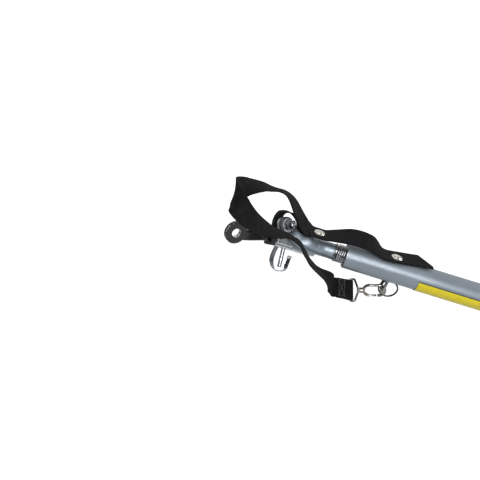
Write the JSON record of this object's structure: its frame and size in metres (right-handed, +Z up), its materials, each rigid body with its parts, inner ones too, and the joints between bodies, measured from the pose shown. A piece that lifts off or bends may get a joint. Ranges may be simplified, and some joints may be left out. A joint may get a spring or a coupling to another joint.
{
  "type": "bicycle trailer drawbar with axle hitch",
  "caption": "Bent tube drawbar of a bicycle trailer with a coil spring coupling, an axle hitch with a lock pin, and a webbing safety strap with a snap hook.",
  "frame": {"origin": "centre of the flat end face of the drawbar's rear cap, where the drawbar plugs into the trailer's frame", "axes": "+X out of the drawbar's rear end towards the trailer, +Y to the bicycle's right, +Z up"},
  "size_m": [0.5322, 0.2286, 0.1719],
  "materials": {
    "grey_paint": "satin",
    "black_plastic": "matte",
    "yellow_tape": "reflective",
    "anchor_plastic": "matte",
    "core_rubber": "matte",
    "spring_steel": "dark, lightly oiled",
    "black_steel": "satin",
    "arm_paint": "satin",
    "bolt_zinc": "zinc plated",
    "washer_zinc": "zinc plated",
    "nut_zinc": "bright zinc",
    "receiver_zinc": "zinc plated",
    "bracket_black": "satin",
    "bush_rubber": "matte",
    "pin_zinc": "zinc plated",
    "bail_zinc": "zinc plated",
    "rivet_zinc": "zinc plated",
    "black_webbing": "woven",
    "strap_webbing": "woven",
    "sewn_webbing": "woven",
    "tether_webbing": "woven",
    "rear_rivet_nickel": "bright",
    "front_rivet_nickel": "bright",
    "eye_nickel": "bright",
    "hook_nickel": "bright",
    "gate_nickel": "bright",
    "swivel_nickel": "bright",
    "ring_steel": "dark"
  },
  "bodies": {
    "drawbar": {"drawbar_tube": "grey_paint", "end_cap": "black_plastic", "reflective_tape": "yellow_tape", "spring_anchor": "anchor_plastic", "strap_flap": "black_webbing", "safety_strap": "strap_webbing", "strap_sewn_loop": "sewn_webbing", "strap_rivet_rear": "rear_rivet_nickel", "anchor_eye": "eye_nickel", "hook_swivel_eye": "swivel_nickel"},
    "core": {"flex_core": "core_rubber"},
    "arm": {"flex_spring": "spring_steel", "spring_seat": "black_steel", "tow_arm": "arm_paint", "hitch_bolt": "bolt_zinc", "hitch_washer": "washer_zinc", "hitch_nut": "nut_zinc", "receiver": "receiver_zinc", "axle_bracket": "bracket_black", "mouth_bush": "bush_rubber", "lock_pin": "pin_zinc", "bail_rivet": "rivet_zinc", "pin_tether": "tether_webbing", "strap_rivet_front": "front_rivet_nickel"},
    "bail": {"pin_bail": "bail_zinc"},
    "hook": {"hook_body": "hook_nickel"},
    "gate": {"hook_gate": "gate_nickel"},
    "ring": {"split_ring": "ring_steel"}
  },
  "joints": [
    {"name": "flex_yaw", "type": "hinge", "parent": "drawbar", "child": "core", "pos_m": [-0.3905, 0.14045, 0.05726], "axis": [0.1893, -0.1395, 0.972], "range_deg": [-12, 12], "stiffness_Nm_per_rad": 25, "deforming": ["safety_strap"]},
    {"name": "flex_pitch", "type": "hinge", "parent": "core", "child": "arm", "pos_m": [-0.3905, 0.14045, 0.05726], "axis": [0.5934, 0.8049, 0], "range_deg": [-8, 8], "stiffness_Nm_per_rad": 25, "deforming": ["safety_strap"]},
    {"name": "bail_swing", "type": "hinge", "parent": "arm", "child": "bail", "pos_m": [-0.45215, 0.1833, 0.08179], "axis": [0.8796, 0, -0.4756], "range_deg": [0, 110]},
    {"name": "hook_turn", "type": "hinge", "parent": "drawbar", "child": "hook", "pos_m": [-0.36559, 0.11935, 0.01551], "axis": [0.7999, -0.5897, 0.1115], "range_deg": [-15, 15]},
    {"name": "hook_gate", "type": "hinge", "parent": "hook", "child": "gate", "pos_m": [-0.36915, 0.12197, 0.00777], "axis": [-0.5934, -0.8049, 0], "range_deg": [0, 25], "stiffness_Nm_per_rad": 0.002, "springref_deg": -17.19},
    {"name": "ring_swing", "type": "hinge", "parent": "drawbar", "child": "ring", "pos_m": [-0.35543, 0.11882, 0.01646], "axis": [0.5934, 0.8049, 0], "range_deg": [-5, 105]}
  ]
}
